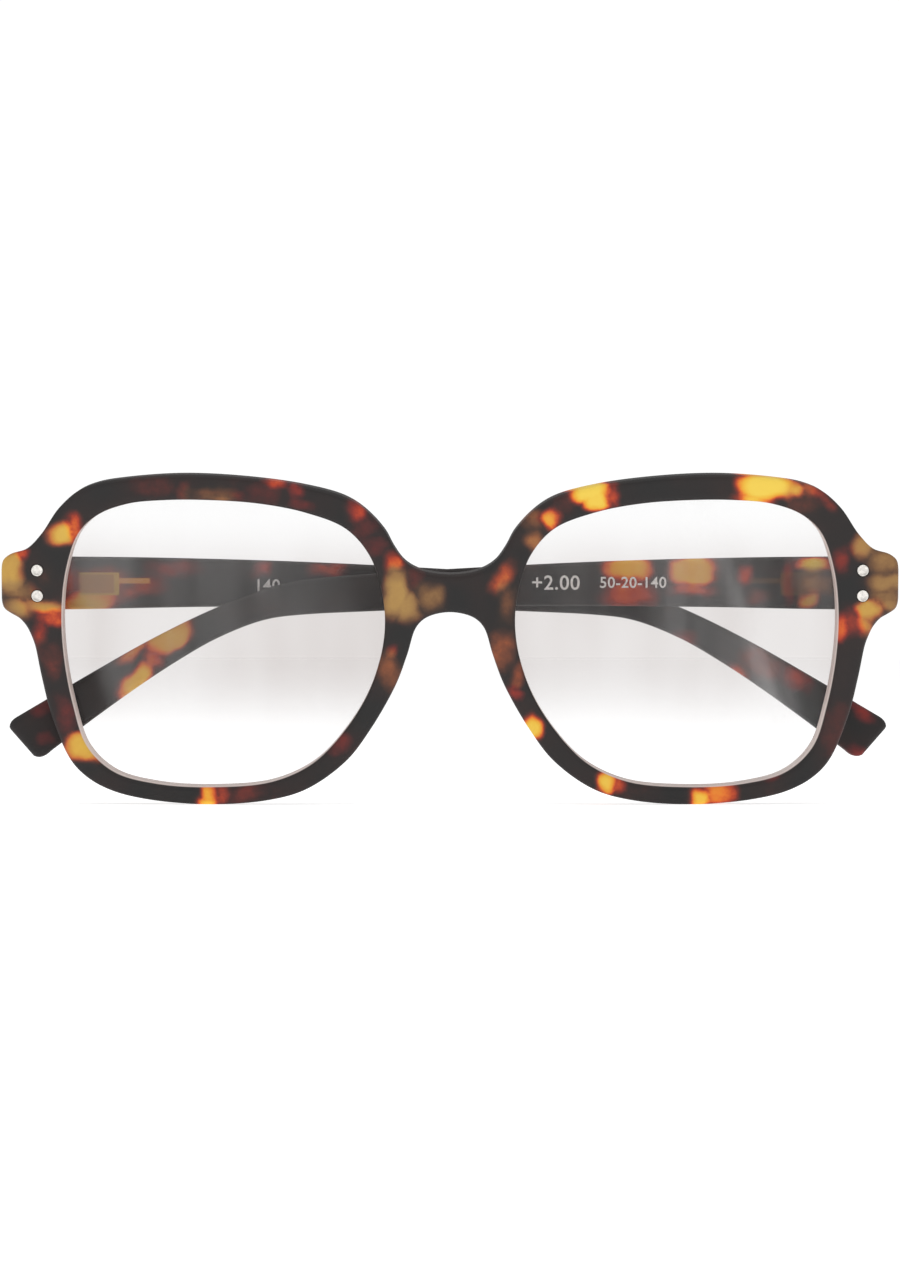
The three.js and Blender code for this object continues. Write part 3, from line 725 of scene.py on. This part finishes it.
def tortoise_material(name, anchor=0.0):
    """The plastic, with how strongly the temple hinge's anchor glows through it."""
    s = Shading(name)
    light, khaki, red = s.parts("tortoise")
    # clouding breaks up the patches' edges, and leaves the darkest and lightest parts alone
    cloud = s.span(s.noise(420, 5, 0.6), 0.25, 0.75, -0.3, 0.3)
    room = s.math("MULTIPLY", light, s.math("SUBTRACT", 1.0, light))
    light = s.math("ADD", light, s.math("MULTIPLY", cloud, room))
    colour = s.mix(red, s.ramp(light, WARM), s.ramp(light, CRIMSON))
    colour = s.mix(khaki, colour, s.ramp(light, OLIVE))

    if anchor:
        # a plate with a pale rim, then a thin tang
        along, depth, height = s.parts("place")
        up = s.math("ABSOLUTE", height)
        clear = s.span(depth, ANCHOR_SUNK, TEMPLE_THICKNESS, anchor, 0.12 * anchor)
        end = HINGE_TO_BUTT + ANCHOR_END
        within = s.math("MULTIPLY", s.span(along, 7.2, 8.4), s.span(along, end + 0.15, end, 0, 1))
        plate = s.math("MULTIPLY", within, s.span(up, ANCHOR[1] / 2 + 0.12, ANCHOR[1] / 2 - 0.12))
        rim = s.math("MAXIMUM", s.span(along, end - 1.0, end - 0.5),
                     s.span(up, ANCHOR[1] / 2 - 0.45, ANCHOR[1] / 2 - 0.2))
        metal = s.mix(rim, srgb(162, 126, 76), srgb(186, 154, 72))
        colour = s.mix(s.math("MULTIPLY", plate, clear), colour, metal)
        tang = s.math("MULTIPLY", s.span(along, end + TANG[0] + 0.2, end + TANG[0] - 0.4),
                      s.span(along, end, end + 0.1))
        from_tang = s.math("ABSOLUTE", s.math("SUBTRACT", height, TANG_RAISED))
        tang = s.math("MULTIPLY", tang, s.span(from_tang, TANG[1] / 2 + 0.15, TANG[1] / 2 - 0.1))
        colour = s.mix(s.math("MULTIPLY", tang, clear), colour, srgb(196, 140, 76))
    else:
        # painted highlight: the opening's wall is painted pale, standing for the ground lens edge
        # glinting there
        glint = s.parts("lens_edge_glint")[0]
        colour = s.mix(glint, colour, srgb(226, 211, 205))
    s.feed(s.shader["Base Color"], colour)

    grain = s.noise(5200, 3, 0.5)
    s.feed(s.shader["Roughness"], s.span(grain, 0.3, 0.7, 0.46, 0.56))
    s.bump(grain, 0.05, 0.00001)
    s.shader["Specular IOR Level"].default_value = 0.24
    return s.material


def lens_material():
    """Clear lens plastic: what is behind shows through, both faces mirror a little, and a faint painted
    reflection lies on them in upright streaks, a white veil mixed over what shows through."""
    s = Shading("lens_clear")
    s.nodes.remove(s.nodes["Principled BSDF"])
    across, _, up = s.place()
    # painted reflection: a faint white veil in upright slanted streaks, stronger or weaker across the
    # lens
    slanted = s.math("MULTIPLY_ADD", s.math("SUBTRACT", up, HINGE_LINE * MM), REFLECTION_SLANT, across)
    low, high = LENS_PAINTED_REFLECTION[0][0], LENS_PAINTED_REFLECTION[-1][0]
    painted_reflection = s.curve(s.math("DIVIDE", s.math("SUBTRACT", slanted, low * MM), (high - low) * MM),
                   [((mark - low) / (high - low), veil_strength) for mark, veil_strength in LENS_PAINTED_REFLECTION])
    reflection_streaks = s.noise(1.0, 2.5, 0.55, stretch=(170, 30, 13))
    painted_reflection = s.math("MULTIPLY", painted_reflection, s.span(reflection_streaks, 0.3, 0.7, 0.35, 0.75))
    # painted shadow: what shows through is a little greyer at the temples' height
    from_temples = s.math("ABSOLUTE", s.math("SUBTRACT", up, (HINGE_LINE - 7) * MM))
    painted_shadow = s.math("MULTIPLY", s.span(from_temples, 0.019, 0.004),
                  s.span(s.noise(1.0, 2, 0.5, stretch=(60, 30, 20)), 0.3, 0.7, 1.0, 0.6))
    tint_and_shadow = s.mix(painted_shadow, srgb(252, 252, 252), srgb(234, 231, 230))
    clear = s.node("ShaderNodeBsdfTransparent", "BSDF", Color=tint_and_shadow)
    reflection_veil = s.node("ShaderNodeBsdfDiffuse", "BSDF", Color=(0.95, 0.95, 0.95, 1))
    gloss = s.node("ShaderNodeBsdfGlossy", "BSDF", Roughness=0.04)
    facing = s.node("ShaderNodeLayerWeight", "Facing", Blend=0.5)
    mirror = s.math("MULTIPLY_ADD", s.math("POWER", facing, 5.0), 0.8, 0.01)
    for factor, added in ((painted_reflection, reflection_veil), (mirror, gloss)):
        blend = s.nodes.new("ShaderNodeMixShader")
        s.links.new(factor, blend.inputs[0])
        s.links.new(clear, blend.inputs[1])
        s.links.new(added, blend.inputs[2])
        clear = blend.outputs[0]
    s.links.new(clear, s.nodes["Material Output"].inputs["Surface"])
    return s.material


def metal_material(name, colour, roughness, scratch):
    s = Shading(name)
    brushed = s.noise(scratch, 6, 0.65)
    worn = s.span(brushed, 0.35, 0.65)
    s.feed(s.shader["Base Color"], s.mix(worn, srgb(*(0.86 * c for c in colour)), srgb(*colour)))
    s.feed(s.shader["Roughness"], s.span(brushed, 0.3, 0.7, roughness - 0.06, roughness + 0.08))
    s.bump(brushed, 0.12, 0.00002)
    s.shader["Metallic"].default_value = 1.0
    return s.material


def print_material():
    s = Shading("white_print")
    worn = s.span(s.noise(3000, 4, 0.6), 0.4, 0.7)
    s.feed(s.shader["Base Color"], s.mix(worn, srgb(236, 236, 234), srgb(206, 205, 202)))
    s.shader["Roughness"].default_value = 0.6
    return s.material


def floor_material():
    s = Shading("pale_floor")
    s.feed(s.shader["Base Color"], s.mix(s.noise(6, 2), srgb(246, 246, 246), srgb(250, 250, 250)))
    s.shader["Roughness"].default_value = 0.9
    s.shader["Specular IOR Level"].default_value = 0.1
    s.shader["Emission Color"].default_value = (1, 1, 1, 1)
    s.shader["Emission Strength"].default_value = 0.48
    return s.material


materials = {
    "tortoise": tortoise_material("tortoise_acetate"),
    "tortoise.left": tortoise_material("tortoise_acetate_left", anchor=0.1),
    "tortoise.right": tortoise_material("tortoise_acetate_right", anchor=0.85),
    "lens": lens_material(),
    "hinge_metal": metal_material("hinge_nickel", (188, 180, 162), 0.34, 1800),
    "screw_steel": metal_material("screw_steel", (212, 212, 209), 0.28, 2400),
    "rivet_silver": metal_material("rivet_silver", (236, 232, 226), 0.4, 2000),
    "print": print_material(),
}


# ---------------------------------------------------------------- the front

def pad_height(flat):
    """How far the nose pads stand out behind the front, at flat places."""
    across, up = np.abs(flat[:, 0]) - NOSE_PAD[0], flat[:, 1] - NOSE_PAD[1]
    c, s = math.cos(NOSE_PAD_LEAN), math.sin(NOSE_PAD_LEAN)
    over = (across * c + up * s) / NOSE_PAD_HALF[0]
    along = (up * c - across * s) / NOSE_PAD_HALF[1]
    rise = np.clip(1 - over ** 2 - along ** 2, 0, 1)
    return NOSE_PAD_HALF[2] * smooth_step(0, 1, rise ** 0.75)


def front_back(flat):
    """The depth of the front's back face: level, with the nose pads and the thick end pieces."""
    thin = FRONT_THICKNESS + pad_height(flat)
    face = wrap(np.column_stack([flat[:, 0], np.zeros(len(flat)), flat[:, 1]]))
    thick = FRONT_Y + END_PIECE_BACK - face[:, 1]
    return thin + (thick - thin) * end_share(flat[:, 0], flat[:, 1])


def rivet_places():
    """Where the rivets are on the unrolled front, on the left side: across and up."""
    across = FRONT_BEND_RADIUS * math.asin(hinges["left_temple"][0] / FRONT_BEND_RADIUS)
    bend = FRONT_BEND_RADIUS * (1 - math.cos(across / FRONT_BEND_RADIUS))
    for name, height in (("upper", RIVET_SPACING / 2), ("lower", -RIVET_SPACING / 2)):
        yield name, across, (height - bend * math.sin(FRONT_TILT)) / math.cos(FRONT_TILT)


def circle(centre, radius, points=32):
    turns = np.arange(points) * 2 * math.pi / points
    return np.array(centre) + radius * np.column_stack([np.cos(turns), np.sin(turns)])


def make_front():
    opening = smooth_loop(OPENING)
    other = opening * (-1, 1)
    bores = [circle((side * across, up), RIVET_RADIUS + RIVET_GAP)
             for _, across, up in rivet_places() for side in (1, -1)]
    shell = slab(
        front_outline(), [opening, other, *bores],
        [FRONT_EDGE] * 3 + [RIVET_GAP] * 4, [MESH_SPACING] * 3 + [BORE_SPACING] * 4,
        level(0), front_back, FRONT_WALL_ROWS,
    )
    points = shell[0]
    front = mesh_piece("front_shell", shell, "front", front_place, "tortoise", "front_frame")
    store(front, "tortoise", tortoise_field(points, FRONT_PATCHES, 3))
    walls = np.vstack([even(opening, 0.4), even(other, 0.4)])
    # the painted highlight round a lens, the lens edge's glint, is wider on the outer and lower sides
    toward = (np.abs(points[:, 0]) - LENS_CENTRE[0] - points[:, 2] + LENS_CENTRE[1]) / LENS_RADIUS
    start = GLINT_START[0] + (GLINT_START[1] - GLINT_START[0]) * smooth_step(-0.4, 0.4, toward)
    beside = nearest(points[:, [0, 2]], walls) < GLINT_REACH
    end = FRONT_THICKNESS - GLINT_END
    depth = points[:, 1]
    glint = beside * np.clip((depth - start) / 0.15, 0, 1) * np.clip((end - depth) / 0.3, 0, 1)
    store(front, "lens_edge_glint", np.column_stack([glint * 0.95] * 3))


def make_rivets(side):
    r, name = RIVET_RADIUS, side_name(side)
    # a shank with a shallow dished head and a raised rim
    profile = [(0, -RIVET_LENGTH), (r, -RIVET_LENGTH), (r, 0), (0.975 * r, 0.07), (0.91 * r, 0.11),
               (0.82 * r, 0.10), (0.70 * r, 0.045), (0.5 * r, 0.015), (0.25 * r, 0.005), (0, 0)]
    points, faces = turned(profile)
    for level_name, across, up in rivet_places():
        where = np.column_stack([
            side * (across + points[:, 0]), -points[:, 2], up + points[:, 1]])
        mesh_piece(f"rivet_{name}_{level_name}_fine", (where, faces), "front", front_place,
                   "rivet_silver", f"rivet_{name}_{level_name}")


# ---------------------------------------------------------------- lenses

def make_lens(side):
    edge = even(smooth_loop(OPENING), LENS_SPACING)
    centre = np.array(LENS_CENTRE)
    reach = np.linalg.norm(edge - centre, axis=1).mean()
    edge = centre + (edge - centre) * (1 + LENS_EMBEDDED / reach)
    count, rings = len(edge), LENS_RINGS
    points, faces = [], []
    for depth, bulge in ((LENS_EDGE_DEPTH, LENS_FRONT_BULGE),
                         (LENS_EDGE_DEPTH + LENS_EDGE_THICKNESS, LENS_BACK_HOLLOW)):
        base = len(points)
        points.append((*centre, depth - bulge))
        for share in np.arange(1, rings + 1) / rings:
            points += [(*place, depth - bulge * (1 - share ** 2))
                       for place in centre + (edge - centre) * share]
        for i in range(count):
            j = (i + 1) % count
            faces.append((base, base + 1 + i, base + 1 + j))
            for ring in range(rings - 1):
                a, b = base + 1 + ring * count, base + 1 + (ring + 1) * count
                faces.append((a + i, b + i, b + j, a + j))
    outer = 1 + (rings - 1) * count
    back = outer + 1 + rings * count
    faces += [(outer + i, outer + (i + 1) % count, back + (i + 1) % count, back + i)
              for i in range(count)]
    points = np.array(points)[:, [0, 2, 1]] * (side, 1, 1)
    name = side_name(side)
    mesh_piece(f"lens_{name}_fine", (points, faces), "front", wrap, "lens", f"lens_{name}")


# ---------------------------------------------------------------- temples

def make_temple(side):
    name = side_name(side)
    shell = slab(temple_outline(), [], [TEMPLE_EDGE], [MESH_SPACING],
                 level(0), level(TEMPLE_THICKNESS), TEMPLE_WALL_ROWS)
    piece = mesh_piece(f"temple_{name}_fine", shell, f"{name}_temple", temple_place(side),
                       f"tortoise.{name}", f"temple_{name}")
    patches = LEFT_TEMPLE_PATCHES if side > 0 else RIGHT_TEMPLE_PATCHES
    store(piece, "tortoise", tortoise_field(shell[0], patches, 20 + side))
    store(piece, "place", shell[0])


def make_numerals(side, name, text, height, start, up):
    """Numerals printed on a temple's inner face, upright as seen from the front when folded."""
    words = bpy.data.curves.new(name, "FONT")
    words.body = text
    words.size = height / DIGIT_HEIGHT
    words.extrude = PRINT_THICKNESS
    words.offset = PRINT_BOLDER
    words.space_character = 1.06
    holder = bpy.data.objects.new(name, words)
    bpy.context.scene.collection.objects.link(holder)
    mesh = bpy.data.meshes.new_from_object(
        holder.evaluated_get(bpy.context.evaluated_depsgraph_get()))
    bpy.data.objects.remove(holder)
    flat = np.array([v.co for v in mesh.vertices])
    points = np.column_stack([start - side * flat[:, 0], -flat[:, 2], up + flat[:, 1]])
    faces = [tuple(face.vertices) for face in mesh.polygons]
    mesh_piece(f"numerals_{side_name(side)}_{name}", (points, faces), f"{side_name(side)}_temple",
               temple_place(side), "print")


# ---------------------------------------------------------------- hinges

def rounded_rectangle(low, high, corner):
    (x0, y0), (x1, y1) = low, high
    return np.vstack([
        rounded((x0 + corner, y0), (x0, y0), (x0, y0 + corner))[::-1],
        rounded((x1, y0 + corner), (x1, y0), (x1 - corner, y0))[::-1],
        rounded((x1 - corner, y1), (x1, y1), (x1, y1 - corner))[::-1],
        rounded((x0, y1 - corner), (x0, y1), (x0 + corner, y1))[::-1],
    ])


def knuckle(low, high, reach):
    """A hinge barrel with its web, which runs to -Y as far as reach: (x, y, z) about the axis."""
    half = WEB_WIDTH / 2
    start = math.asin(math.sqrt(1 - (half / BARREL_RADIUS) ** 2))
    turns = np.linspace(-start, math.pi + start, 40)
    outline = np.vstack([
        [(-half, -reach), (half, -reach)],
        BARREL_RADIUS * np.column_stack([np.cos(turns), np.sin(turns)]),
    ])
    points, faces = slab(outline, [circle((0, 0), SCREW_RADIUS + SCREW_GAP)], [0.1, 0.06], [0.22, 0.18],
                         level(low), level(high), 2)
    return points[:, [0, 2, 1]], faces


def make_hinge(side):
    name = side_name(side)
    straight, folded = hinge_place(side, 0), hinge_place(side, temple_turn(side))
    outer, inner = BARREL_HEIGHT * 1.5 + BARREL_GAP, BARREL_HEIGHT / 2 + BARREL_GAP / 3

    width, height = FRONT_LEAF
    plate = slab(
        rounded_rectangle((-width / 2, -height / 2), (width / 2, height / 2), 0.6), [],
        [0.16], [0.3], level(-HINGE_BEHIND - LEAF_THICKNESS), level(PLATE_PROUD - HINGE_BEHIND), 2)
    barrels = [knuckle(*span, HINGE_BEHIND + 0.2)
               for span in ((inner + BARREL_GAP / 3, outer), (-outer, -inner - BARREL_GAP / 3))]
    mesh_piece(f"front_hinge_{name}_fine", joined(plate, *barrels), "front", straight,
               "hinge_metal", f"front_hinge_{name}")

    # the temple's leaf is sunk in the plastic, all but its barrel
    sunk = HINGE_TO_TEMPLE + ANCHOR_SUNK
    body, faces = slab(
        rounded_rectangle((ANCHOR_END - ANCHOR[0], -ANCHOR[1] / 2), (ANCHOR_END, ANCHOR[1] / 2), 0.4),
        [], [0.1], [0.4], level(sunk), level(sunk + LEAF_THICKNESS), 2)
    tang_low, tang_high = TANG_RAISED - TANG[1] / 2, TANG_RAISED + TANG[1] / 2
    tang, tang_faces = slab(
        rounded_rectangle((ANCHOR_END - 1, tang_low), (ANCHOR_END + TANG[0], tang_high), 0.2),
        [], [0.1], [0.2], level(sunk), level(sunk + LEAF_THICKNESS), 2)
    barrel, barrel_faces = knuckle(-inner, inner, sunk + 0.3)
    barrel = barrel[:, [1, 0, 2]] * (-1, 1, 1)
    leaf = joined((body[:, [1, 0, 2]], faces), (tang[:, [1, 0, 2]], tang_faces), (barrel, barrel_faces))
    mesh_piece(f"temple_hinge_{name}_fine", leaf, f"{name}_temple", folded,
               "hinge_metal", f"temple_hinge_{name}")

    radius, tall = SCREW_HEAD
    base = outer + 0.02
    shell = turned([
        (0, -outer), (SCREW_RADIUS - 0.1, -outer), (SCREW_RADIUS, 0.1 - outer), (SCREW_RADIUS, base),
        (radius - 0.08, base), (radius, base + 0.08), (radius, base + 0.6 * tall),
        (0.96 * radius, base + 0.78 * tall), (0.84 * radius, base + 0.92 * tall),
        (0.5 * radius, base + tall), (0, base + tall)])
    screw = mesh_piece(f"hinge_screw_{name}_fine", shell, "front", straight,
                       "screw_steel", f"hinge_screw_{name}")
    slot = slab(
        rounded_rectangle((-2 * radius, -SCREW_SLOT / 2), (2 * radius, SCREW_SLOT / 2), 0.02), [],
        [0.02], [0.3], level(base + 0.45 * tall), level(base + 2 * tall), 1)
    turn = math.radians(SCREW_TURN)
    x, z, y = slot[0].T
    cut(screw, straight(np.column_stack([
        x * math.cos(turn) - y * math.sin(turn), x * math.sin(turn) + y * math.cos(turn), z])), slot[1])


def cut(piece, points, faces):
    """Takes a closed shell out of a piece."""
    cutter = bpy.data.objects.new("cutter", closed_mesh("cutter", points, faces))
    bpy.context.scene.collection.objects.link(cutter)
    tool = piece.modifiers.new("slot", "BOOLEAN")
    tool.operation = "DIFFERENCE"
    tool.solver = "EXACT"
    tool.object = cutter
    shaped = bpy.data.meshes.new_from_object(
        piece.evaluated_get(bpy.context.evaluated_depsgraph_get()))
    piece.modifiers.clear()
    piece.data = shaped
    bpy.data.objects.remove(cutter)


# ---------------------------------------------------------------- stage, light and camera

def make_camera():
    camera = bpy.data.objects.new("camera", bpy.data.cameras.new("camera"))
    camera.data.sensor_width = 36
    distance, seen_height = 1.0, 0.2
    camera.data.lens = camera.data.sensor_width * distance / seen_height
    camera.location = (0, FRONT_Y * MM - distance, (HINGE_LINE - CAMERA_BELOW_HINGES) * MM)
    camera.rotation_euler = (math.pi / 2, 0, 0)
    camera.data.clip_start = 0.05
    bpy.context.scene.collection.objects.link(camera)
    bpy.context.scene.camera = camera


def area_light(name, place, size, power):
    lamp = bpy.data.lights.new(name, "AREA")
    lamp.shape = "RECTANGLE"
    lamp.size, lamp.size_y = size
    lamp.energy = power
    holder = bpy.data.objects.new(name, lamp)
    holder.location = place
    aim = Vector(LIGHTS_AIM) - Vector(place)
    holder.rotation_euler = aim.to_track_quat("-Z", "Y").to_euler()
    bpy.context.scene.collection.objects.link(holder)


def make_stage():
    size = 8.0
    mesh = bpy.data.meshes.new("floor")
    corners = [(-size, -size, 0), (size, -size, 0), (size, size, 0), (-size, size, 0)]
    mesh.from_pydata(corners, [], [(0, 1, 2, 3)])
    mesh.materials.append(floor_material())
    floor = bpy.data.objects.new("floor", mesh)
    bpy.context.scene.collection.objects.link(floor)

    world = bpy.data.worlds.new("studio")
    bpy.context.scene.world = world
    world.use_nodes = True
    nodes, links = world.node_tree.nodes, world.node_tree.links
    # a white surround to look at, which lights the glasses less than it shows
    seen = nodes.new("ShaderNodeLightPath")
    strength = nodes.new("ShaderNodeMapRange")
    links.new(seen.outputs["Is Camera Ray"], strength.inputs["Value"])
    strength.inputs["To Min"].default_value = SURROUND_LIGHT
    strength.inputs["To Max"].default_value = 1.05
    nodes["Background"].inputs["Color"].default_value = (1, 1, 1, 1)
    links.new(strength.outputs["Result"], nodes["Background"].inputs["Strength"])
    for softbox in SOFTBOXES:
        area_light(*softbox)
    bpy.context.scene.view_settings.view_transform = "Standard"


make_camera()
make_stage()
make_front()
for side in (1, -1):
    make_lens(side)
    make_temple(side)
    make_hinge(side)
    make_rivets(side)
for numeral in NUMERALS:
    make_numerals(*numeral)
